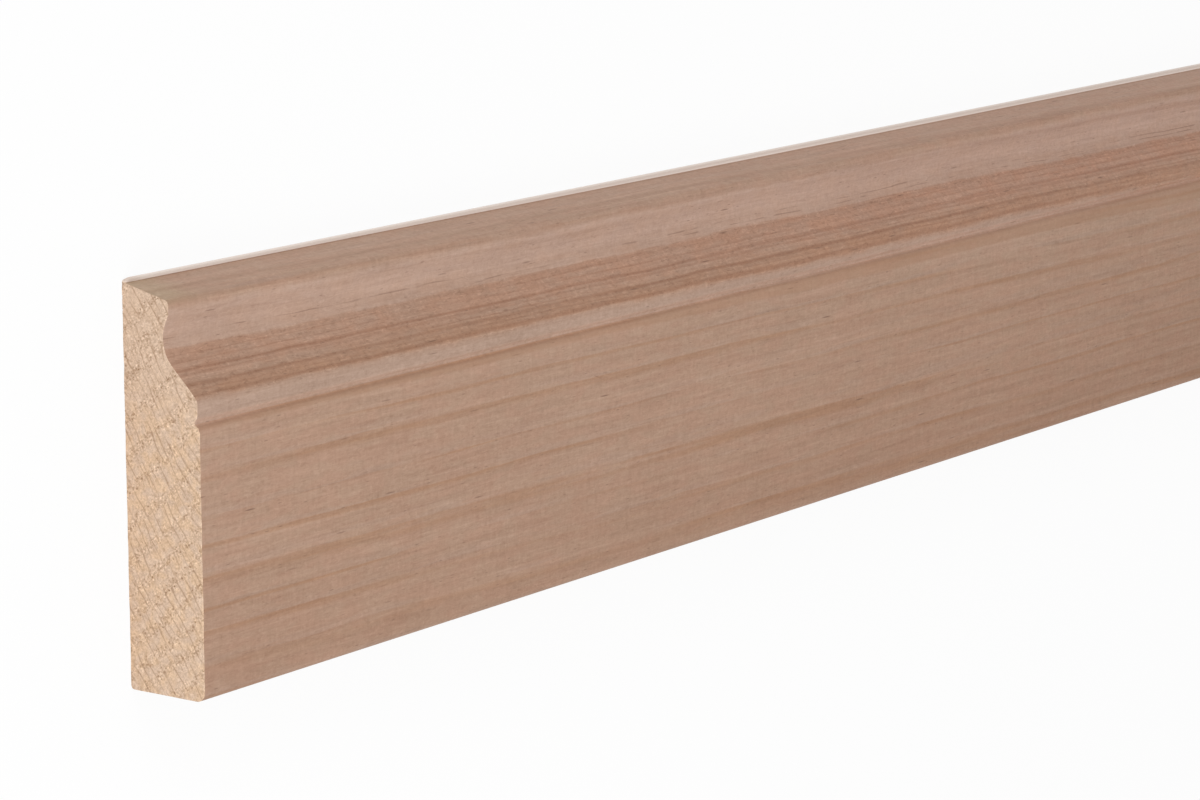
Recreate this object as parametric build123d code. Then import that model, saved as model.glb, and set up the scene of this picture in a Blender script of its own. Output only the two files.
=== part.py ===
"""Colonial architrave: one straight length of moulded timber lying on its back.

X runs along the length, Y across the width with the thin edge at +Y, and Z is
the thickness with the back at 0 and the face on top. All sizes are in mm.
"""

import os

from build123d import *

# Stock size of the planed board
LENGTH = 2400.0
WIDTH = 69.0
THICKNESS = 16.0

# Narrow land that the cutter leaves along the back of the thin edge
LAND_DEPTH = 1.0

# Widths of the moulding across Y, one after the other from the thin edge
LAND_FALL = 0.9
BEVEL_FALL = 2.1
NOSE_BAND = 2.2
COVE_FALL = 5.2
OGEE_FALL = 8.3
BEAD_BAND = 2.9
QUIRK_FALL = 0.9
QUIRK_RETURN = 0.9

# Depths of the moulding below the flat face
NOSE_CUT = 6.2
COVE_CUT = 8.8
BEAD_CUT = 0.4
QUIRK_CUT = 1.3

# Radii of the corners, in the order they follow each other from the back
LAND_BACK_RADIUS = 0.6
LAND_FRONT_RADIUS = 0.35
BEVEL_RADIUS = 0.3
NOSE_RADIUS = 1.1
NOSE_UNDER_RADIUS = 1.6
COVE_RADIUS = 6.0
BEAD_RADIUS = 2.0
BEAD_UNDER_RADIUS = 1.2
QUIRK_RADIUS = 0.4
FACE_RADIUS = 1.2
ARRIS_RADIUS = 1.8
BACK_RADIUS = 0.5

thin_edge = WIDTH / 2
thick_edge = -WIDTH / 2


def moulded_corners():
    """List the corners of the moulding, each one band further from the thin edge."""
    bands = [
        (LAND_FALL, THICKNESS - LAND_DEPTH, BEVEL_RADIUS),
        (BEVEL_FALL, NOSE_CUT, NOSE_RADIUS),
        (NOSE_BAND, NOSE_CUT, NOSE_UNDER_RADIUS),
        (COVE_FALL, COVE_CUT, COVE_RADIUS),
        (OGEE_FALL, BEAD_CUT, BEAD_RADIUS),
        (BEAD_BAND, BEAD_CUT, BEAD_UNDER_RADIUS),
        (QUIRK_FALL, QUIRK_CUT, QUIRK_RADIUS),
        (QUIRK_RETURN, 0, FACE_RADIUS),
    ]
    corners = []
    y = thin_edge
    for width, cut, radius in bands:
        y -= width
        corners.append(((y, THICKNESS - cut), radius))
    return corners


def build_section():
    """Draw the closed outline as corners joined by lines and rounded by tangent arcs."""
    corners = [
        ((thick_edge, 0), BACK_RADIUS),
        ((thin_edge, 0), LAND_BACK_RADIUS),
        ((thin_edge, LAND_DEPTH), LAND_FRONT_RADIUS),
        *moulded_corners(),
        ((thick_edge, THICKNESS), ARRIS_RADIUS),
    ]
    points = [point for point, radius in corners]
    radii = [radius for point, radius in corners]
    outline = FilletPolyline(*points, radius=radii, close=True)
    return make_face(outline)


def build_architrave():
    """Carry the section straight along X, half the length to each side of the origin."""
    section = Plane.YZ * build_section()
    return extrude(section, amount=LENGTH / 2, both=True)


architrave = build_architrave()
architrave.label = "architrave"
os.makedirs("parts", exist_ok=True)
export_step(architrave, "parts/architrave.step")
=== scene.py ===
"""Colonial architrave: a planed hardwood moulding lying on its back, with its stage.

The board is one section carried along X. +Y points to the thin moulded edge and
+Z out of the face, and the back rests on the floor. Lengths are in metres.
"""

import math
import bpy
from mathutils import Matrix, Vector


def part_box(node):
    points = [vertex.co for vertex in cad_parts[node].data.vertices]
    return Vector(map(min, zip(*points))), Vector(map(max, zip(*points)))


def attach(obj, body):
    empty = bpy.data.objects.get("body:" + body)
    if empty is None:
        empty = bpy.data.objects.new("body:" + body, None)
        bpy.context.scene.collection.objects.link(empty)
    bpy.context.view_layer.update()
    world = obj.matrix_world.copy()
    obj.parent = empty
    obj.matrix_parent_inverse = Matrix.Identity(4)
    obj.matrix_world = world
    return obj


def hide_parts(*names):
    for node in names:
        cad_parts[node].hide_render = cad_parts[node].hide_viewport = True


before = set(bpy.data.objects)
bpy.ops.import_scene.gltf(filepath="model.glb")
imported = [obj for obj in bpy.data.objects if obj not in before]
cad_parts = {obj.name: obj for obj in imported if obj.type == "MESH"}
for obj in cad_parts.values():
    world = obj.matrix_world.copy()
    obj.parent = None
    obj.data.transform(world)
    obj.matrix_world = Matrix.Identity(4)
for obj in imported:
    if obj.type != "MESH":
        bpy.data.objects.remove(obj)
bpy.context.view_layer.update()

from types import SimpleNamespace

import bpy
import numpy as np
from mathutils import Vector

BOARD_LOW, BOARD_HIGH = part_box("architrave")

bl_info = {
    "name": "Colonial Architrave",
    "version": (1, 0, 0),
    "blender": (4, 5, 0),
    "location": "View3D > Sidebar > Architrave",
    "description": "Builds a length of colonial architrave and a plain stage for it",
    "category": "Object",
}

MM = 0.001

# Points on each rounded corner of the section, and rows of points from front to back on an end
ARC_POINTS = 8
END_ROWS = 12

# Sections close to an end, in millimetres past its torn border
END_STATIONS = (0, 0.35, 0.9, 1.8, 3.2, 5.5)

# Where the even sections start, in millimetres from the end
EVEN_START = 12

# Share of the torn depth that the border wavers by, and least share of the torn edge
RAGGED_SHARE = 0.8
TORN_LEAST = 0.15

# Baking map: a strip for the sides, and the two ends side by side above it
BAKE_MAP = "OFBake"
STRIP_HEIGHT = 0.88
END_FOOT = 0.895
END_HEIGHT = 0.1
END_WIDTH = 0.47
END_OFFSETS = (0.005, 0.525)

# Least steps of the strip, as a share of the length and in millimetres, and how the back shrinks
LEAST_STEP = 0.002
LEAST_GIRTH = 0.12
BACK_SHRINK = 0.45

# Place along the board, in millimetres, up to which the land is worn
LAND_TIP = BOARD_LOW[0] / MM + 5.0

# Slant of the growth rings on the end, and slope of the grain along the board
RING_SLANT = math.radians(33)
GRAIN_SLOPE = math.radians(-0.45)

# Gentle bends of the grain in millimetres, long and short
LONG_BEND = (0, 2.5, 2.5)
SHORT_BEND = (0, 1, 1)
MEAN_BEND = (0, 1.75, 1.75)

# Plain growth rings to a millimetre, counted towards the thick edge, and where the count starts
RING_RATE = -0.227
RING_START = 0.48

# Growth rings that show as dark lines: place across the rings, half width and strength
RING_LINES = (
    (24.0, 0.9, 0.2), (21.0, 0.7, 0.2), (14.1, 0.6, 0.22), (12.2, 0.45, 0.15),
    (10.4, 0.55, 0.6), (9.4, 0.4, 0.35), (7.4, 0.6, 0.65), (5.3, 0.7, 0.6),
)

# Fine cracks along the bottom of the cove: places across the rings
COVE_CRACKS = (15.6, 16.5)

# Open pores, long and short: fineness along each axis, reach and strength
PORES = (((0.08, 0.8, 0.8), 0.16, 0.7), ((0.3, 1.6, 1.6), 0.22, 0.5))

# Noise of each material: the course it follows, fineness along each axis to a millimetre,
# detail, roughness and twist
PLANED_NOISE = {
    "ragged": ("grain", (0.09, 0.7, 0.7), 3.0, 0.6, 0.5),
    "uneven": ("grain", (0.002, 0.3, 0.05), 0.0, 0.5, 0.0),
    "bands": ("grain", (0.012, 0.55, 0.45), 1.0, 0.5, 0.3),
    "streaks": ("grain", (0.03, 1.3, 1.1), 2.0, 0.6, 0.5),
    "smears": ("grain", (0.05, 0.75, 0.65), 1.0, 0.5, 0.3),
    "fibres": ("grain", (0.1, 3.2, 2.8), 2.0, 0.6, 0.6),
    "patches": ("grain", (0.14, 0.4, 0.4), 1.0, 0.5, 0.4),
    "hatch": ("point", (1.1, 0.3, 0.3), 2.0, 0.6, 1.0),
    "fuzz": ("point", (0.7, 1.8, 1.8), 2.0, 0.65, 1.2),
    "mottle": ("point", (0.06, 0.03, 0.03), 1.0, 0.5, 0.3),
    "relief": ("point", (0.15, 4.0, 4.0), 1.0, 0.5, 0.0),
}
SAWN_NOISE = {
    "patches": ("point", (0.5, 0.5, 0.5), 0.0, 0.5, 0.5),
    "grit": ("point", (2.5, 2.5, 2.5), 2.0, 0.65, 0.8),
    "blotch": ("grain", (0.5, 0.5, 0.7), 2.0, 0.6, 0.4),
    "drift": ("grain", (0.02, 0.07, 0.12), 2.0, 0.5, 0.0),
    "broken": ("grain", (0.02, 0.16, 0.7), 2.0, 0.6, 0.0),
}

# How much of the fine shading red, green and blue each take up
PLANED_TINT = (0.83, 1.0, 1.16)
SAWN_TINT = (0.86, 1.0, 1.14)

# Strength of the fine relief, and its depth on the planed faces and the ends in metres
RELIEF_STRENGTH = 0.35
PLANED_DEPTH = 0.00005
SAWN_DEPTH = 0.0002

# Width of the camera's sensor in millimetres, and the nearest that it sees in metres
SENSOR_WIDTH = 36
NEAREST = 0.01


def screen(red, green, blue):
    """Turn a colour as a screen shows it, 0 to 255, into linear light."""
    share = np.array([red, green, blue]) / 255
    return tuple(np.where(share <= 0.04045, share / 12.92, ((share + 0.055) / 1.055) ** 2.4))


def size(name, description, value):
    """Declare a length, given in millimetres."""
    return bpy.props.FloatProperty(
        name=name, description=description, default=value * MM, min=0, unit="LENGTH", precision=5
    )


def colour(name, description, red, green, blue):
    """Declare a colour, given as a screen shows it."""
    return bpy.props.FloatVectorProperty(
        name=name, description=description, default=screen(red, green, blue),
        min=0, max=1, size=3, subtype="COLOR"
    )


class ArchitraveSection(bpy.types.PropertyGroup):
    """Sizes of the moulded section, from the thin edge towards the thick one."""

    land_depth: size("Land depth", "Thickness of the land along the back of the thin edge", 1.0)
    land_fall: size("Land fall", "Width of the land", 0.9)
    bevel_fall: size("Bevel fall", "Width of the bevel from the land to the nose", 2.1)
    nose_band: size("Nose band", "Width of the nose", 2.2)
    cove_fall: size("Cove fall", "Width from the nose to the deepest corner of the cove", 5.2)
    ogee_fall: size("Ogee fall", "Width from the cove to the bead", 8.3)
    bead_band: size("Bead band", "Width of the bead", 2.9)
    quirk_fall: size("Quirk fall", "Width from the bead to the bottom of the quirk", 0.9)
    quirk_return: size("Quirk return", "Width from the bottom of the quirk to the face", 0.9)
    nose_cut: size("Nose cut", "Depth of the nose below the face", 6.2)
    cove_cut: size("Cove cut", "Depth of the cove's corner below the face", 8.8)
    bead_cut: size("Bead cut", "Depth of the bead below the face", 0.4)
    quirk_cut: size("Quirk cut", "Depth of the quirk below the face", 1.3)
    land_back_radius: size("Land back radius", "Radius of the land's back corner", 0.6)
    land_front_radius: size("Land front radius", "Radius of the land's front corner", 0.35)
    bevel_radius: size("Bevel radius", "Radius where the bevel meets the land", 0.3)
    nose_radius: size("Nose radius", "Radius of the nose's upper corner", 1.1)
    nose_under_radius: size("Nose under radius", "Radius of the nose's lower corner", 1.6)
    cove_radius: size("Cove radius", "Radius of the cove", 6.0)
    bead_radius: size("Bead radius", "Radius of the bead's upper corner", 2.0)
    bead_under_radius: size("Bead under radius", "Radius of the bead's lower corner", 1.2)
    quirk_radius: size("Quirk radius", "Radius at the bottom of the quirk", 0.4)
    face_radius: size("Face radius", "Radius where the face meets the quirk", 1.2)
    arris_radius: size("Arris radius", "Radius of the face's corner at the thick edge", 1.8)
    back_radius: size("Back radius", "Radius of the back's corner at the thick edge", 0.5)


class ArchitraveCut(bpy.types.PropertyGroup):
    """Wear and raggedness of the sawn ends."""

    torn_edge: size("Torn edge", "Most that the saw tears off the border of an end", 0.22)
    torn_depth: size("Torn depth", "How far the torn border reaches along the board", 0.25)
    corner_loss: size("Corner loss", "How much of the land is knocked off at an end", 0.3)
    corner_reach: size("Corner reach", "How far along the board the knocked corner reaches", 0.6)
    station_step: size("Station step", "Distance between the sections along the board", 9.0)
    run_step: size("Run step", "Longest straight step around the section", 1.6)
    seed: bpy.props.IntProperty(name="Seed", description="Seed of the torn border", default=7)


class ArchitraveTimber(bpy.types.PropertyGroup):
    """Colours of the planed timber and of its sawn ends."""

    main: colour("Main", "Planed face", 178, 145, 123)
    heart: colour("Heart", "Belt of browner heartwood", 168, 128, 101)
    pale: colour("Pale", "Belt of paler wood", 192, 161, 143)
    ruddy: colour("Ruddy", "Redder patches", 179, 143, 121)
    silver: colour("Silver", "Greyer wood along the bead", 181, 152, 134)
    rust: colour("Rust", "Rust-brown lines", 146, 105, 80)
    amber: colour("Amber", "Warmer lines where a growth ring ends", 172, 131, 101)
    pore: colour("Pore", "Open pores along the grain", 116, 86, 68)
    # The land is near white: partly its raw wood and partly painted sheen of grazing light on the
    # thin edge
    land: colour("Land", "Raw land along the back of the thin edge", 247, 233, 223)
    end_main: colour("End main", "Sawn end", 218, 190, 166)
    end_straw: colour("End straw", "Yellower patches of the sawn end", 222, 190, 159)
    end_ray: colour("End ray", "Rays and open pores of the sawn end", 172, 139, 112)


class ArchitraveStage(bpy.types.PropertyGroup):
    """Camera, floor and light."""

    camera_place: bpy.props.FloatVectorProperty(
        name="Camera place", description="Where the camera stands",
        default=(-1.71144, 0.14768, 0.46281), size=3, subtype="TRANSLATION", unit="LENGTH"
    )
    camera_turn: bpy.props.FloatVectorProperty(
        name="Camera turn", description="How the camera is turned",
        default=tuple(math.radians(angle) for angle in (-10.86815, -54.34696, -0.19939)),
        size=3, subtype="EULER", unit="ROTATION"
    )
    lens: bpy.props.FloatProperty(
        name="Lens", description="Focal length in millimetres on a sensor 36 mm wide",
        default=128.25
    )
    floor_span: bpy.props.FloatProperty(
        name="Floor span", description="Width of the floor", default=40.0, unit="LENGTH"
    )
    floor_shade: bpy.props.FloatProperty(
        name="Floor shade", description="Share of the floor's own shading that the camera sees",
        default=0.08, min=0, max=1, subtype="FACTOR"
    )
    sky: bpy.props.FloatProperty(
        name="Sky", description="Strength of the even light from all around", default=0.65
    )
    key_power: bpy.props.FloatProperty(
        name="Key power", description="Power of the lamp on the thick edge's side",
        default=1.28, unit="POWER"
    )
    key_place: bpy.props.FloatVectorProperty(
        name="Key place", description="Where that lamp hangs, from the middle of the near end",
        default=(-0.25, -0.3, 0.45), size=3, subtype="TRANSLATION", unit="LENGTH"
    )
    fill_power: bpy.props.FloatProperty(
        name="Fill power", description="Power of the lamp on the thin edge's side",
        default=0.9, unit="POWER"
    )
    fill_place: bpy.props.FloatVectorProperty(
        name="Fill place", description="Where that lamp hangs, from the middle of the near end",
        default=(-0.25, 0.5, 0.35), size=3, subtype="TRANSLATION", unit="LENGTH"
    )
    lamp_span: bpy.props.FloatProperty(
        name="Lamp span", description="Width of each lamp", default=0.4, unit="LENGTH"
    )


def rounded_corners(corners, radii, steps):
    """Replace each corner of a closed outline by a tangent arc.

    An arc touches its two runs at radius / tan(half angle) from the corner, and its
    centre lies on the bisector at radius / sin(half angle). A point of it is the
    centre plus the radius, turned through an even share of the arc's sweep.
    Returns an array of corner by step by (y, z).
    """
    before = np.roll(corners, 1, axis=0) - corners
    after = np.roll(corners, -1, axis=0) - corners
    before /= np.linalg.norm(before, axis=1, keepdims=True)
    after /= np.linalg.norm(after, axis=1, keepdims=True)
    half = np.arccos((before * after).sum(axis=1)) / 2
    bisector = before + after
    bisector /= np.linalg.norm(bisector, axis=1, keepdims=True)
    centres = corners + bisector * (radii / np.sin(half))[:, None]
    reach = (radii / np.tan(half))[:, None]
    first = corners + before * reach - centres
    last = corners + after * reach - centres
    start = np.arctan2(first[:, 1], first[:, 0])
    sweep = np.arctan2(last[:, 1], last[:, 0]) - start
    sweep = (sweep + np.pi) % (2 * np.pi) - np.pi
    angle = start[:, None] + sweep[:, None] * np.linspace(0, 1, steps)
    spoke = np.stack([np.cos(angle), np.sin(angle)], axis=-1)
    return centres[:, None, :] + radii[:, None, None] * spoke


def divide_runs(line, longest):
    """Divide each run of a line into equal steps that are no longer than the given length."""
    run = np.diff(line, axis=0)
    count = np.ceil(np.linalg.norm(run, axis=1) / longest).astype(int).clip(1)
    step = np.arange(count.sum()) - np.repeat(np.cumsum(count) - count, count)
    start = np.repeat(line[:-1], count, axis=0)
    share = np.repeat(run / count[:, None], count, axis=0)
    return np.vstack([start + share * step[:, None], line[-1:]])


def moulded_front(section, low, high, longest):
    """Trace the front of the section from the thin edge down to the thick one.

    The corners follow each other in bands across Y, each at its own depth below the
    face, and every corner is rounded. Returns points (y, z) with falling y.
    """
    top = high[2]
    bands = np.array([
        (0, top - low[2] - section.land_depth, section.land_front_radius),
        (section.land_fall, top - low[2] - section.land_depth, section.bevel_radius),
        (section.bevel_fall, section.nose_cut, section.nose_radius),
        (section.nose_band, section.nose_cut, section.nose_under_radius),
        (section.cove_fall, section.cove_cut, section.cove_radius),
        (section.ogee_fall, section.bead_cut, section.bead_radius),
        (section.bead_band, section.bead_cut, section.bead_under_radius),
        (section.quirk_fall, section.quirk_cut, section.quirk_radius),
        (section.quirk_return, 0, section.face_radius),
    ])
    moulded = np.stack([high[1] - np.cumsum(bands[:, 0]), top - bands[:, 1]], axis=1)
    ends = np.array([(low[1], top), (low[1], low[2]), (high[1], low[2])])
    corners = np.vstack([moulded, ends])
    radii = np.r_[bands[:, 2], section.arris_radius, section.back_radius, section.land_back_radius]
    arcs = rounded_corners(corners, radii, ARC_POINTS)
    return divide_runs(arcs[:len(bands) + 1].reshape(-1, 2), longest)


def back_height(y, section, low, high):
    """Height of the back at each y: flat, with a quarter round at both edges.

    A quarter round lifts by its radius less the root of (radius squared less the
    square of the way past its centre).
    """
    lifts = [
        radius - np.sqrt((radius ** 2 - (radius - inset).clip(0) ** 2).clip(0))
        for radius, inset in (
            (section.back_radius, y - low[1]), (section.land_back_radius, high[1] - y)
        )
    ]
    return low[2] + np.maximum(*lifts)


def smooth_noise(draw, count, reach):
    """Draw even random numbers from 0 to 1 and average each with its neighbours around a loop."""
    kernel = np.hanning(2 * reach + 3)[1:-1]
    raw = draw.random(count)
    padded = np.r_[raw[-reach:], raw, raw[:reach]]
    soft = np.convolve(padded, kernel / kernel.sum(), mode="valid")
    return (soft - soft.min()) / np.ptp(soft)


def section_loop(section, cut, low, high):
    """Close the section: down the front, along the thick edge and back up the back.

    The front and the back share the thin tip. Each point of the thick edge is the
    front's last point plus an even share of the way to the back's. Returns the points
    (y, z) of the loop and the number of levels down the front.
    """
    front = moulded_front(section, low, high, cut.run_step)
    back = np.stack([front[:, 0], back_height(front[:, 0], section, low, high)], axis=1)
    front[0] = back[0] = (front[0] + back[0]) / 2
    share = np.linspace(0, 1, END_ROWS)[1:-1, None]
    thick = front[-1] + (back[-1] - front[-1]) * share
    return np.vstack([front, thick, back[:0:-1]]), len(front)


def outward_directions(loop):
    """Outward direction at each point of a loop, square to the run between its neighbours."""
    run = np.roll(loop, -1, axis=0) - np.roll(loop, 1, axis=0)
    outward = np.stack([run[:, 1], -run[:, 0]], axis=1)
    outward /= np.linalg.norm(outward, axis=1, keepdims=True)
    return outward * np.sign(outward[np.argmax(loop[:, 1]), 1])


def board_stations(cut, low, high):
    """Places of the sections along X, evenly spaced but crowded towards the worn ends."""
    near = np.array(END_STATIONS) * MM + cut.torn_depth
    count = int((high[0] - low[0]) / cut.station_step)
    middle = np.linspace(low[0] + EVEN_START * MM, high[0] - EVEN_START * MM, count)
    return np.r_[low[0] + near, middle, high[0] - near[::-1]]


def end_numbers(levels):
    """Number the grid of an end, whose thin tip is a single point, and list its border."""
    grid = np.zeros((levels, END_ROWS), dtype=int)
    grid[1:] = 1 + np.arange((levels - 1) * END_ROWS).reshape(-1, END_ROWS)
    return grid, np.r_[grid[:, 0], grid[-1, 1:-1], grid[:0:-1, -1]]


def end_points(rim, grid, x):
    """Fill an end at x with a grid between the front and the back of its rim.

    A point is the front's plus an even share of the way to the back's at its level.
    """
    levels, rows = grid.shape
    front = rim[:levels]
    back = np.vstack([rim[:1], rim[:levels + rows - 3:-1]])
    share = np.linspace(0, 1, rows)[:, None]
    plane = front[:, None] + (back - front)[:, None] * share
    plane[-1, 1:-1] = rim[levels:levels + rows - 2]
    points = np.empty((grid.max() + 1, 3))
    points[:, 0] = x
    points[grid.ravel(), 1:] = plane.reshape(-1, 2)
    return points


def side_layout(stations, loop, back_start, low, high):
    """Lay the sides out for baking in one strip, long way along u and around the loop along v.

    Each face takes up its own share of the strip, but no less than a least step, and
    the faces of the back are shrunk.
    """
    step = np.diff(np.r_[low[0], stations, high[0]]).clip(LEAST_STEP * (high[0] - low[0]))
    along = np.r_[0, np.cumsum(step)]
    along /= along[-1]
    girth = np.linalg.norm(np.roll(loop, -1, axis=0) - loop, axis=1).clip(LEAST_GIRTH * MM)
    girth[back_start:] *= BACK_SHRINK
    up = np.r_[0, np.cumsum(girth)] / girth.sum() * STRIP_HEIGHT
    strip = np.empty((len(step), len(loop), 4, 2))
    strip[..., (0, 1), 0] = along[:-1, None, None]
    strip[..., (2, 3), 0] = along[1:, None, None]
    strip[..., (0, 3), 1] = up[None, :-1, None]
    strip[..., (1, 2), 1] = up[None, 1:, None]
    return strip.reshape(-1, 2)


def end_layout(points, offset, low, high):
    """Lay faces of an end out flat for baking, width along u and thickness along v."""
    u = offset + END_WIDTH * (points[..., 1] - low[1]) / (high[1] - low[1])
    v = END_FOOT + END_HEIGHT * (points[..., 2] - low[2]) / (high[2] - low[2])
    return np.stack([u, v], axis=-1).reshape(-1, 2)


def board_mesh(section, cut):
    """Carry the section along X and close it with two sawn ends.

    Ring k of the sides is the section's loop at station k. The land sinks there by
    the corner's loss times exp(-(way from the end / reach) squared). An end is a grid
    between the front and the back at equal y, drawn in a little at its border, where
    the saw has torn the fibres, and joined to the first ring by a narrow strip.
    """
    low, high = np.array(BOARD_LOW), np.array(BOARD_HIGH)
    draw = np.random.default_rng(cut.seed)
    loop, levels = section_loop(section, cut, low, high)
    around = len(loop)

    # The sides, whose first and last rings waver along the board
    stations = board_stations(cut, low, high)
    from_end = np.minimum(stations - low[0], high[0] - stations)
    land = ((loop[:, 0] - (high[1] - section.land_fall)) / section.land_fall).clip(0, 1)
    worn = cut.corner_loss * np.exp(-((from_end / cut.corner_reach) ** 2))
    rings = np.empty((len(stations), around, 3))
    rings[:, :, 0] = stations[:, None]
    rings[:, :, 1] = loop[:, 0] - worn[:, None] * land
    rings[:, :, 2] = loop[:, 1]
    rings[0, :, 0] -= cut.torn_depth * smooth_noise(draw, around, 1) * RAGGED_SHARE
    rings[-1, :, 0] += cut.torn_depth * smooth_noise(draw, around, 1) * RAGGED_SHARE

    # The ends, each with its own torn border
    grid, border = end_numbers(levels)
    outward = outward_directions(loop)
    ends = []
    for x in (low[0], high[0]):
        torn = TORN_LEAST + (1 - TORN_LEAST) * smooth_noise(draw, around, 1) ** 2
        rim = loop - outward * (cut.torn_edge * torn)[:, None]
        rim[:, 0] -= cut.corner_loss * land
        ends.append(end_points(rim, grid, x))

    # Faces and their places on the baking map: the sides, then the two ends in turn
    numbers = np.arange(len(stations) * around).reshape(-1, around)
    first = numbers.size
    second = first + len(ends[0])
    tubes = np.vstack([border + first, numbers, border + second])
    ahead = np.roll(tubes, -1, axis=1)
    sides = np.stack([tubes[:-1], ahead[:-1], ahead[1:], tubes[1:]], axis=-1).reshape(-1, 4)
    cells = np.stack([grid[:-1, :-1], grid[1:, :-1], grid[1:, 1:], grid[:-1, 1:]], axis=-1)
    faces = sides.tolist()
    layout = [side_layout(stations, loop, levels + END_ROWS - 2, low, high)]
    for part in (cells[1:].reshape(-1, 4), cells[0, :, :3]):
        for points, start, offset, face in zip(
            ends, (first, second), END_OFFSETS, (part[:, ::-1], part)
        ):
            faces += (face + start).tolist()
            layout.append(end_layout(points[face], offset, low, high))

    mesh = bpy.data.meshes.new("architrave_board")
    mesh.from_pydata(np.vstack([rings.reshape(-1, 3), *ends]).tolist(), [], faces)
    mesh.update()
    uv = mesh.uv_layers.new(name=BAKE_MAP)
    uv.data.foreach_set("uv", np.vstack(layout).ravel())

    # The second material goes on the sawn ends and on their torn border up to the land
    is_end = np.zeros(len(faces), dtype=int)
    is_end[len(sides):] = 1
    bare = (land == 0) & (np.roll(land, -1) == 0)
    is_end[:around] = bare
    is_end[len(sides) - around:len(sides)] = bare
    mesh.polygons.foreach_set("material_index", is_end)

    # Smooth along the moulding, sharp where it meets the sawn ends
    mesh.polygons.foreach_set("use_smooth", is_end == 0)
    mesh.update()
    return mesh


class Nodes:
    """Short calls for building a node tree."""

    def __init__(self, tree, material=None):
        self.tree = tree
        self.material = material

    def add(self, kind, sockets=None, **values):
        """Add a node, set its values, and link or set its input sockets."""
        node = self.tree.nodes.new(kind)
        for name, value in values.items():
            setattr(node, name, value)
        for key, value in (sockets or {}).items():
            if isinstance(value, bpy.types.NodeSocket):
                self.tree.links.new(value, node.inputs[key])
            else:
                node.inputs[key].default_value = value
        return node

    def finish(self, shader):
        """Send a shader to the material's output."""
        output = self.add("ShaderNodeOutputMaterial")
        self.tree.links.new(shader.outputs[0], output.inputs[0])

    def surface(self, tone, roughness, gloss, height, depth):
        """Finish with a plain surface that has the given colour, roughness, gloss and relief."""
        bump = self.add("ShaderNodeBump", {
            "Strength": RELIEF_STRENGTH, "Distance": depth, "Height": height,
        })
        self.finish(self.add("ShaderNodeBsdfPrincipled", {
            "Base Color": tone, "Roughness": roughness, "Specular IOR Level": gloss,
            "Normal": bump.outputs[0],
        }))

    def math(self, operation, *numbers):
        """Combine numbers."""
        node = self.add("ShaderNodeMath", dict(enumerate(numbers)), operation=operation)
        return node.outputs[0]

    def vector(self, operation, *vectors):
        """Combine vectors."""
        node = self.add("ShaderNodeVectorMath", dict(enumerate(vectors)), operation=operation)
        return node.outputs[0]

    def stretch(self, vector, scale):
        """Scale a vector along each axis."""
        return self.vector("MULTIPLY", vector, scale)

    def axis(self, vector, name):
        """Take one axis of a vector."""
        return self.add("ShaderNodeSeparateXYZ", {0: vector}).outputs[name]

    def times(self, value, *others):
        """Multiply a number by others."""
        for other in others:
            value = self.math("MULTIPLY", value, other)
        return value

    def plus(self, value, *parts):
        """Add fields to a number, each times its weight."""
        for field, weight in parts:
            value = self.math("MULTIPLY_ADD", field, weight, value)
        return value

    def total(self, value, *parts):
        """Add fields to a number, each about its middle of a half and times its weight."""
        middle = sum(weight for field, weight in parts) / 2
        return self.plus(self.math("SUBTRACT", value, middle), *parts)

    def beside(self, value, level):
        """Distance of a number from a level."""
        return self.math("ABSOLUTE", self.math("SUBTRACT", value, level))

    def step(self, value, low, high, bottom=0.0, top=1.0):
        """Ease from bottom to top as a value goes from low to high."""
        return self.add("ShaderNodeMapRange", {
            "Value": value, "From Min": low, "From Max": high, "To Min": bottom, "To Max": top,
        }, interpolation_type="SMOOTHSTEP").outputs["Result"]

    def noise(self, vector, scale, detail, roughness=0.5, twist=0.0, output="Fac"):
        """Smooth noise on coordinates stretched along each axis, and twisted to hide its rows."""
        return self.add("ShaderNodeTexNoise", {
            "Vector": self.stretch(vector, scale), "Scale": 1.0, "Detail": detail,
            "Roughness": roughness, "Distortion": twist,
        }).outputs[output]

    def edges(self, value, scale, randomness):
        """Distance of a number to the nearest of unevenly spaced lines."""
        return self.add(
            "ShaderNodeTexVoronoi", {"W": value, "Scale": scale, "Randomness": randomness},
            feature="DISTANCE_TO_EDGE", voronoi_dimensions="1D"
        ).outputs["Distance"]

    def cells(self, vector, scale, channel):
        """Distance to the nearest of scattered points, and a random number that each one has."""
        node = self.add("ShaderNodeTexVoronoi", {
            "Vector": self.stretch(vector, scale), "Scale": 1.0, "Randomness": 1.0,
        }, feature="F1")
        split = self.add("ShaderNodeSeparateColor", {0: node.outputs["Color"]})
        return node.outputs["Distance"], split.outputs[channel]

    def mix(self, share, first, second):
        """Mix two colours."""
        sockets = {0: share}
        for key, value in ((6, first), (7, second)):
            linked = isinstance(value, bpy.types.NodeSocket)
            sockets[key] = value if linked else (*value, 1)
        return self.add("ShaderNodeMix", sockets, data_type="RGBA").outputs[2]

    def layers(self, tone, *coats):
        """Mix colours over a tone one after the other, each by its share."""
        for share, coat in coats:
            tone = self.mix(share, tone, coat)
        return tone

    def shade(self, tone, change, tint=(1.0, 1.0, 1.0)):
        """Brighten or darken a colour by a share, which each channel takes up by its tint."""
        return self.stretch(tone, self.vector("MULTIPLY_ADD", change, tint, (1, 1, 1)))


def start_material(name):
    """Begin a material and give its nodes."""
    material = bpy.data.materials.new(name)
    material.use_nodes = True
    material.node_tree.nodes.clear()
    return Nodes(material.node_tree, material)


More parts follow.
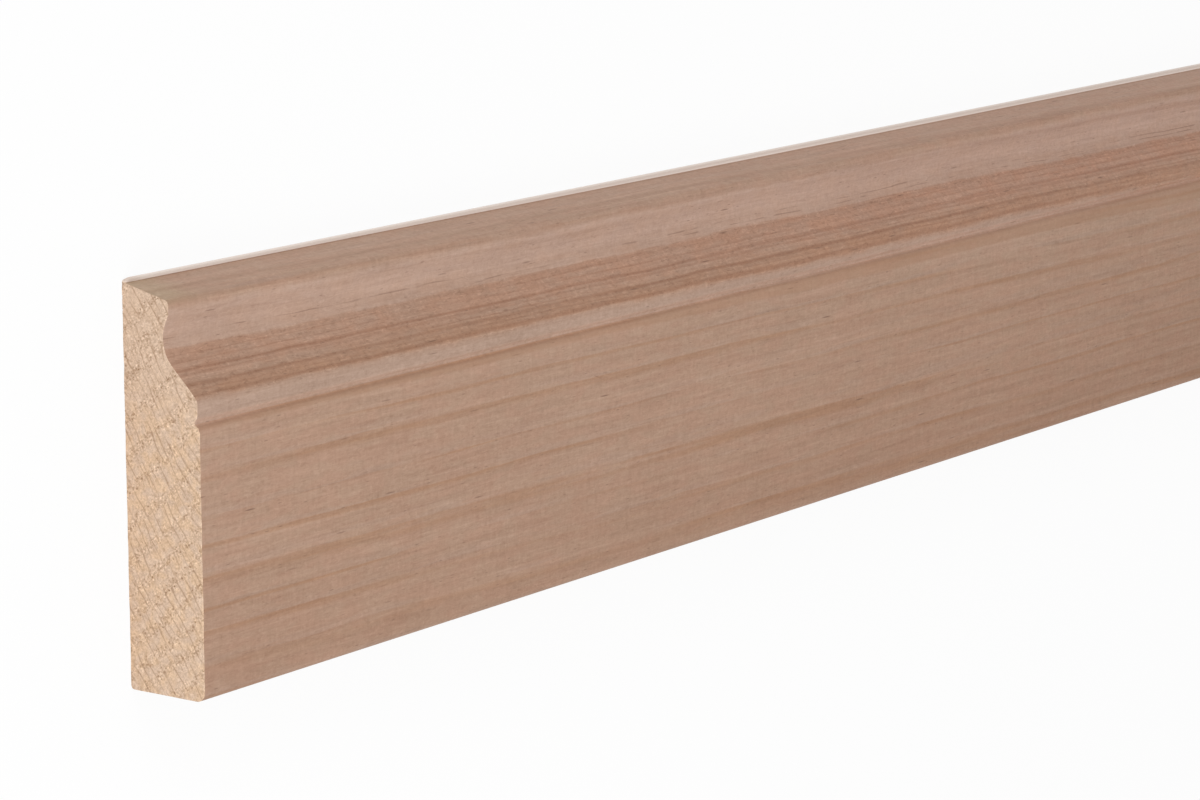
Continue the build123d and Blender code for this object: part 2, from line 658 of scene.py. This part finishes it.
def bent_grain(nodes, point):
    """Bend the grain gently, slope it along the board, and turn it to the growth rings' slant.

    Its Y runs across the rings and its Z along them.
    """
    slow = nodes.noise(point, (0.004, 0.02, 0.02), 1.0, output="Color")
    quick = nodes.noise(point, (0.025, 0.09, 0.09), 1.0, output="Color")
    bend = nodes.vector("ADD", nodes.stretch(slow, LONG_BEND), nodes.stretch(quick, SHORT_BEND))
    bent = nodes.vector("SUBTRACT", nodes.vector("ADD", point, bend), MEAN_BEND)
    sloped = nodes.add("ShaderNodeVectorRotate", {
        "Vector": bent, "Center": (BOARD_LOW[0] / MM, 0, 0), "Angle": -GRAIN_SLOPE,
    }, rotation_type="Z_AXIS")
    turned = nodes.add("ShaderNodeVectorRotate", {
        "Vector": sloped.outputs[0], "Angle": RING_SLANT,
    }, rotation_type="X_AXIS")
    return turned.outputs[0]


def timber_fields(nodes, table):
    """Gather the places on the board, in millimetres, and the noise that a timber is drawn by."""
    place = nodes.add("ShaderNodeTexCoord").outputs["Object"]
    point = nodes.stretch(place, (1 / MM, 1 / MM, 1 / MM))
    grain = bent_grain(nodes, point)
    wood = SimpleNamespace(
        point=point, along=nodes.axis(point, "X"), across=nodes.axis(point, "Y"),
        grain=grain, ring=nodes.axis(grain, "Y"), ray=nodes.axis(grain, "Z")
    )
    for name, (course, *numbers) in table.items():
        setattr(wood, name, nodes.noise(getattr(wood, course), *numbers))
    return wood


def add_belts(nodes, wood):
    """Lay out the belts, which follow the rings with frayed borders from the quirk to the bevel."""
    wood.wander = wander = nodes.total(wood.ring, (wood.ragged, 1.2))
    wood.frayed = frayed = nodes.total(wood.across, (wood.ragged, 0.5))
    wood.straight = nodes.total(wood.ring, (wood.ragged, 0.7))
    pale = nodes.math(
        "ADD", nodes.step(wander, 14.5, 15.0, 0.0, 0.62), nodes.step(wander, 16.2, 18.2, 0.0, 0.26)
    )
    pale = nodes.times(pale, nodes.step(frayed, 31.0, 29.2))
    wood.pale = nodes.math("MAXIMUM", pale, nodes.step(frayed, 31.6, 33.2, 0.0, 0.2))
    wood.silver = nodes.times(
        nodes.step(wander, 5.2, 3.4, 0.0, 0.85), nodes.step(wood.across, 11.7, 11.9)
    )
    wood.heart = nodes.times(nodes.step(wander, 9.5, 6.0, 0.0, 0.6), nodes.step(wander, 4.4, 5.2))
    wood.deep = nodes.times(nodes.step(wander, 15.1, 14.3), nodes.step(wander, 4.2, 5.0))
    wood.clear = nodes.step(wood.pale, 0.0, 0.5)


def add_rings(nodes, wood):
    """Lay out the growth rings, which pale towards the thick edge and end in a dark line."""
    year = nodes.times(nodes.total(wood.straight, (wood.uneven, 4.0)), RING_RATE)
    year = nodes.math("FRACT", nodes.math("ADD", year, RING_START))
    plain = nodes.math("SUBTRACT", 1.0, nodes.math("MAXIMUM", wood.deep, wood.clear))
    wood.early = nodes.times(
        nodes.step(year, 0.4, 0.8), nodes.step(year, 0.9, 0.84), plain,
        nodes.step(wood.smears, 0.4, 0.62, 0.05, 1.0)
    )
    furrow = nodes.math("MAXIMUM", nodes.step(year, 0.86, 0.92), nodes.step(year, 0.25, 0.0))
    wood.furrow = nodes.times(
        furrow, plain, nodes.step(wood.bands, 0.62, 0.4, 0.0, 1.1),
        nodes.step(wood.streaks, 0.4, 0.6, 0.5, 1.0), nodes.step(wood.across, 14.0, 12.0)
    )

    # Single rings show on the moulding, and many thin lines in its browner part
    late = nodes.times(wood.furrow, 0.08)
    shown = nodes.times(
        nodes.step(wood.bands, 0.3, 0.6, 0.6, 1.1), nodes.step(wood.across, 13.5, 14.8)
    )
    for level, half, strength in RING_LINES:
        line = nodes.step(nodes.beside(wood.straight, level), 0.05, half, strength, 0.0)
        late = nodes.math("MAXIMUM", late, nodes.times(line, shown))
    thin = nodes.step(nodes.edges(wood.straight, 0.75, 1.0), 0.04, 0.2, 0.4, 0.0)
    thin = nodes.times(thin, wood.deep, nodes.step(wood.streaks, 0.4, 0.6))
    wood.late = nodes.math("MAXIMUM", late, thin)


def belt_tone(nodes, wood, timber):
    """Mix the colours of the belts and the rings."""
    away = nodes.times(
        nodes.step(wood.along, LAND_TIP + 60.0, LAND_TIP + 300.0),
        nodes.step(wood.across, 5.0, -34.0), 0.08
    )
    return nodes.layers(
        nodes.mix(nodes.step(wood.patches, 0.35, 0.65), timber.main, timber.ruddy),
        (nodes.times(wood.furrow, 0.6), timber.amber),
        (nodes.times(wood.early, 0.48), timber.silver),
        (wood.pale, timber.pale),
        (wood.silver, timber.silver),
        (wood.heart, timber.heart),
        (nodes.times(wood.deep, 0.1), timber.rust),
        (wood.late, timber.rust),
        (nodes.step(wood.across, -12.0, -34.0, 0.0, 0.12), timber.rust),
        (away, timber.rust),
    )


def far_tone(nodes, wood, tone):
    """Redden the moulding and take the grey out of the face further along the board. The moulding's
    lift there is partly painted light against the lamps' fall-off along the board.
    """
    far = nodes.step(wood.along, LAND_TIP + 20.0, LAND_TIP + 300.0)
    upper = nodes.times(wood.deep, nodes.step(wood.wander, 8.0, 11.0))
    red = nodes.times(nodes.step(wood.across, 8.0, 10.5), 0.04)
    red = nodes.plus(red, (upper, 0.015))
    grey = nodes.plus(nodes.step(wood.across, 0.0, 10.5, -0.03, 0.02), (wood.deep, -0.03))
    hue = nodes.times(
        nodes.total(0.0, (wood.patches, 0.08)), nodes.plus(wood.clear, (wood.deep, 1.5))
    )
    tone = nodes.shade(tone, nodes.times(far, red), (1.0, 0.0, 0.0))
    tone = nodes.shade(tone, nodes.times(far, grey), (0.0, 0.8, 1.3))
    tone = nodes.shade(tone, nodes.times(upper, 0.02), (1.0, -0.2, -0.5))
    return nodes.shade(tone, hue, (0.6, 0.0, -1.0))


def fine_shading(nodes, wood):
    """Add up streaks with hard borders, fibres, fuzz, marks across the grain, torn fibres with
    painted highlights and shade, and painted shade towards the thick edge.
    """
    streaks, smears, fuzz = wood.streaks, wood.smears, wood.fuzz
    detail = nodes.times(
        nodes.total(
            0.0, (wood.bands, 0.12), (streaks, 0.1), (wood.fibres, 0.22),
            (wood.hatch, 0.24), (fuzz, 0.42), (wood.mottle, 0.07)
        ),
        nodes.step(wood.deep, 0.0, 0.6, 1.0, 1.25), nodes.step(wood.pale, 0.0, 0.5, 1.0, 0.85)
    )
    # Torn fibres are painted light and dark: partly their own colour and partly painted highlight
    # and shade of the raised fibres
    torn = nodes.math("SUBTRACT", nodes.step(fuzz, 0.56, 0.72), nodes.step(fuzz, 0.42, 0.3))
    blaze = nodes.math("SUBTRACT", nodes.step(streaks, 0.59, 0.65), nodes.step(streaks, 0.4, 0.34))
    smear = nodes.math(
        "SUBTRACT", nodes.step(smears, 0.44, 0.32, 0.0, 0.6), nodes.step(smears, 0.56, 0.68)
    )
    calm = nodes.times(
        nodes.step(wood.pale, 0.0, 0.5, 1.0, 0.8), nodes.step(wood.deep, 0.0, 0.6, 0.057, 0.04)
    )
    gleam = nodes.times(nodes.step(wood.straight, -1.4, -0.1), nodes.step(wood.straight, 0.5, 0.2))
    return nodes.plus(
        detail, (torn, nodes.step(wood.deep, 0.0, 0.6, 0.02, 0.15)), (blaze, 0.045),
        (gleam, 0.035), (smear, calm), (wood.deep, 0.1),
        # Painted shade: the face is darker towards the thick edge, where less light falls
        (nodes.step(wood.across, 12.0, -34.0), -0.04)
    )


def open_grain(nodes, wood, timber, tone):
    """Open the pores, most of them in the cove and the ogee, and dash in the cove's cracks."""
    closed = nodes.step(wood.across, 13.0, 20.0, 0.65, 0.5)
    for scale, reach, strength in PORES:
        distance, lot = nodes.cells(wood.grain, scale, 0)
        pores = nodes.times(
            nodes.step(distance, 0.3 * reach, reach, 1.0, 0.0),
            nodes.step(lot, closed, 1.0, 0.0, strength)
        )
        tone = nodes.mix(pores, tone, timber.pore)
    dashes = nodes.times(
        nodes.step(wood.streaks, 0.46, 0.56), nodes.step(wood.patches, 0.42, 0.54, 0.1, 1.0)
    )
    for level in COVE_CRACKS:
        crack = nodes.step(nodes.beside(wood.straight, level), 0.03, 0.17, 0.48, 0.0)
        tone = nodes.mix(nodes.times(crack, dashes), tone, timber.pore)
    return tone


def cut_lines(nodes, wood, timber, tone):
    """Draw painted light in the quirk, a warm line beside it, the bevel, a painted shade line under
    the land, and the land, pale partly from raw wood and partly from painted sheen.
    """
    # Painted light: the quirk is lightened to offset the shade that falls in its groove
    quirk = nodes.times(nodes.step(wood.across, 11.45, 11.8), nodes.step(wood.across, 13.4, 12.4))
    tone = nodes.shade(tone, nodes.step(quirk, 0.0, 1.0, 0.0, 0.18))
    warm = nodes.times(
        nodes.step(wood.straight, 0.1, 0.7, 0.0, 0.4), nodes.step(wood.across, 11.6, 11.4)
    )
    tone = nodes.mix(warm, tone, timber.amber)

    # Towards the sawn end the bevel dulls, and the land narrows above a thin line of painted shade
    # in its corner; the land is painted pale, partly raw wood and partly painted sheen
    dull = nodes.times(
        nodes.step(wood.along, LAND_TIP + 6.0, LAND_TIP - 3.0, 0.0, 0.1),
        nodes.step(wood.frayed, 30.5, 32.0)
    )
    tone = nodes.shade(tone, dull, (0.0, 1.0, 0.4))
    narrow = nodes.step(wood.along, LAND_TIP + 190.0, LAND_TIP - 5.0, 0.0, 0.25)
    narrow = nodes.math("SUBTRACT", wood.across, narrow)
    corner_shade_line = nodes.times(nodes.step(narrow, 33.35, 33.45), nodes.step(narrow, 33.6, 33.5), 0.3)
    soiled = nodes.step(wood.along, LAND_TIP, LAND_TIP - 5.0, 0.0, 0.4)
    raw = nodes.mix(soiled, timber.land, timber.main)
    return nodes.layers(tone, (corner_shade_line, timber.rust), (nodes.step(narrow, 33.5, 33.62), raw))


def planed_material(timber):
    """Make the planed timber: belts, growth rings, fine shading, pores and the cutter's lines."""
    nodes = start_material("planed_timber")
    wood = timber_fields(nodes, PLANED_NOISE)
    add_belts(nodes, wood)
    add_rings(nodes, wood)
    tone = far_tone(nodes, wood, belt_tone(nodes, wood, timber))
    tone = nodes.shade(tone, fine_shading(nodes, wood), PLANED_TINT)
    tone = cut_lines(nodes, wood, timber, open_grain(nodes, wood, timber, tone))
    roughness = nodes.step(wood.fibres, 0.3, 0.7, 0.58, 0.68)
    nodes.surface(tone, roughness, 0.3, wood.relief, PLANED_DEPTH)
    return nodes.material


def sawn_material(timber):
    """Make the sawn end: rays down the slant, rows of large pores across them, patches and grit."""
    nodes = start_material("sawn_end")
    wood = timber_fields(nodes, SAWN_NOISE)
    slant = nodes.total(wood.ray, (wood.drift, 4.0), (wood.blotch, 0.35))
    rays = nodes.times(
        nodes.step(nodes.edges(slant, 0.7, 0.9), 0.02, 0.16, 1.0, 0.0),
        nodes.step(wood.broken, 0.38, 0.62, 0.1, 1.0)
    )
    turned = nodes.plus(wood.ring, (wood.ray, -0.11))
    turned = nodes.total(turned, (wood.drift, 3.0), (wood.blotch, 2.2))
    rows = nodes.step(nodes.edges(turned, 0.24, 0.8), 0.06, 0.34, 1.0, 0.0)
    distance, lot = nodes.cells(wood.grain, (0.05, 1.5, 1.2), 0)
    pores = nodes.times(
        nodes.step(distance, 0.1, 0.5, 1.0, 0.0), nodes.step(lot, 0.3, 0.7),
        nodes.step(rows, 0.0, 1.0, 0.3, 1.0)
    )

    # Each torn fibre end in a row is painted light or dark: partly its own colour and partly
    # painted highlight and shade of its relief
    distance, lot = nodes.cells(wood.grain, (0.05, 2.3, 2.0), 1)
    flecks = nodes.times(
        nodes.step(distance, 0.1, 0.75, 1.0, 0.0), nodes.math("SUBTRACT", lot, 0.55),
        nodes.step(rows, 0.1, 0.8, 0.2, 1.0)
    )

    straw = nodes.math("MAXIMUM", nodes.step(wood.patches, 0.3, 0.7), nodes.times(rows, 0.4))
    straw = nodes.times(straw, nodes.step(wood.across, 8.0, 20.0, 1.0, 0.2))
    tone = nodes.mix(straw, timber.end_main, timber.end_straw)
    # The grit's contrast is partly painted light and shade of the end's fine relief
    detail = nodes.total(0.0, (wood.grit, 1.75))
    detail = nodes.times(detail, nodes.step(rows, 0.1, 0.8, 0.6, 1.0))
    detail = nodes.plus(nodes.total(detail, (wood.blotch, 0.5)), (flecks, 0.95))
    tone = nodes.layers(
        nodes.shade(tone, detail, SAWN_TINT),
        (nodes.times(rows, 0.1), timber.end_ray),
        (nodes.times(pores, 0.55), timber.end_ray),
        (nodes.times(rays, 0.65), timber.end_ray),
        # The land's near-white colour on the end's tip: partly raw wood and partly painted sheen
        (nodes.step(wood.across, 33.7, 34.0, 0.0, 0.75), timber.land),
    )
    height = nodes.plus(wood.grit, (flecks, 0.5), (pores, -1.0), (rays, -0.4))
    roughness = nodes.step(wood.grit, 0.3, 0.7, 0.82, 0.7)
    nodes.surface(tone, roughness, 0.25, height, SAWN_DEPTH)
    return nodes.material


def floor_material(shade):
    """Make a white floor that keeps a soft share of its shading for the camera."""
    nodes = start_material("pale_floor")
    matte = nodes.add("ShaderNodeBsdfDiffuse", {"Color": (0.9, 0.9, 0.9, 1)})
    white = nodes.add("ShaderNodeEmission", {"Color": (1, 1, 1, 1), "Strength": 1.0})
    path = nodes.add("ShaderNodeLightPath")
    seen = nodes.math("MAXIMUM", path.outputs["Is Camera Ray"], path.outputs["Is Glossy Ray"])
    seen = nodes.math("MAXIMUM", seen, path.outputs["Is Transmission Ray"])
    share = nodes.times(seen, 1 - shade)
    mixed = nodes.add("ShaderNodeMixShader", {0: share, 1: matte.outputs[0], 2: white.outputs[0]})
    nodes.finish(mixed)
    return nodes.material


def white_world(strength):
    """Light the scene evenly from all around, and show white to the camera."""
    world = bpy.data.worlds.new("studio")
    world.use_nodes = True
    tree = world.node_tree
    tree.nodes.clear()
    nodes = Nodes(tree)
    path = nodes.add("ShaderNodeLightPath")
    seen = nodes.math("MAXIMUM", path.outputs["Is Camera Ray"], path.outputs["Is Transmission Ray"])
    level = nodes.step(seen, 0.0, 1.0, strength, 1.0)
    sky = nodes.add("ShaderNodeBackground", {"Color": (1, 1, 1, 1), "Strength": level})
    output = nodes.add("ShaderNodeOutputWorld")
    tree.links.new(sky.outputs[0], output.inputs[0])
    return world


def soft_lamp(scene, name, power, place, span):
    """Hang a round lamp near the board's near end and turn it to that end."""
    light = bpy.data.lights.new(name, "AREA")
    light.shape = "DISK"
    light.size = span
    light.energy = power
    lamp = bpy.data.objects.new(name, light)
    lamp.location = Vector((BOARD_LOW[0], 0, BOARD_LOW[2])) + place
    lamp.rotation_euler = place.to_track_quat("Z", "Y").to_euler()
    scene.collection.objects.link(lamp)


class ARCHITRAVE_OT_board(bpy.types.Operator):
    """Build the moulded board with its sawn ends"""

    bl_idname = "architrave.board"
    bl_label = "Build Board"

    def execute(self, context):
        scene = context.scene
        mesh = board_mesh(scene.architrave_section, scene.architrave_cut)
        board = bpy.data.objects.new("architrave_board", mesh)
        scene.collection.objects.link(board)
        mesh.materials.append(planed_material(scene.architrave_timber))
        mesh.materials.append(sawn_material(scene.architrave_timber))
        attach(board, "root")
        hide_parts("architrave")
        return {"FINISHED"}


class ARCHITRAVE_OT_stage(bpy.types.Operator):
    """Set the floor, the light and the camera"""

    bl_idname = "architrave.stage"
    bl_label = "Set Stage"

    def execute(self, context):
        scene = context.scene
        stage = scene.architrave_stage
        half = stage.floor_span / 2
        ground = BOARD_LOW[2]
        mesh = bpy.data.meshes.new("floor")
        turns = ((-1, -1), (1, -1), (1, 1), (-1, 1))
        corners = [(x * half, y * half, ground) for x, y in turns]
        mesh.from_pydata(corners, [], [(0, 1, 2, 3)])
        mesh.materials.append(floor_material(stage.floor_shade))
        floor = bpy.data.objects.new("floor", mesh)
        scene.collection.objects.link(floor)

        scene.world = white_world(stage.sky)
        soft_lamp(scene, "key", stage.key_power, stage.key_place, stage.lamp_span)
        soft_lamp(scene, "fill", stage.fill_power, stage.fill_place, stage.lamp_span)

        lens = bpy.data.cameras.new("camera")
        lens.lens = stage.lens
        lens.sensor_width = SENSOR_WIDTH
        lens.clip_start = NEAREST
        camera = bpy.data.objects.new("camera", lens)
        camera.location = stage.camera_place
        camera.rotation_euler = stage.camera_turn
        scene.collection.objects.link(camera)
        scene.camera = camera
        scene.view_settings.view_transform = "Standard"
        return {"FINISHED"}


class ARCHITRAVE_PT_panel(bpy.types.Panel):
    """Lists the steps that build the architrave"""

    bl_idname = "ARCHITRAVE_PT_panel"
    bl_label = "Colonial Architrave"
    bl_space_type = "VIEW_3D"
    bl_region_type = "UI"
    bl_category = "Architrave"

    def draw(self, context):
        column = self.layout.column()
        column.operator(ARCHITRAVE_OT_board.bl_idname)
        column.operator(ARCHITRAVE_OT_stage.bl_idname)


GROUPS = {
    "architrave_section": ArchitraveSection,
    "architrave_cut": ArchitraveCut,
    "architrave_timber": ArchitraveTimber,
    "architrave_stage": ArchitraveStage,
}
CLASSES = (*GROUPS.values(), ARCHITRAVE_OT_board, ARCHITRAVE_OT_stage, ARCHITRAVE_PT_panel)


def register():
    """Add the classes, and the settings to every scene."""
    for each in CLASSES:
        bpy.utils.register_class(each)
    for name, group in GROUPS.items():
        setattr(bpy.types.Scene, name, bpy.props.PointerProperty(type=group))


def unregister():
    """Remove the settings and the classes."""
    for name in GROUPS:
        delattr(bpy.types.Scene, name)
    for each in reversed(CLASSES):
        bpy.utils.unregister_class(each)


def main():
    """Build the board and its stage."""
    register()
    bpy.ops.architrave.board()
    bpy.ops.architrave.stage()
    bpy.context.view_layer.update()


if __name__ == "__main__":
    main()
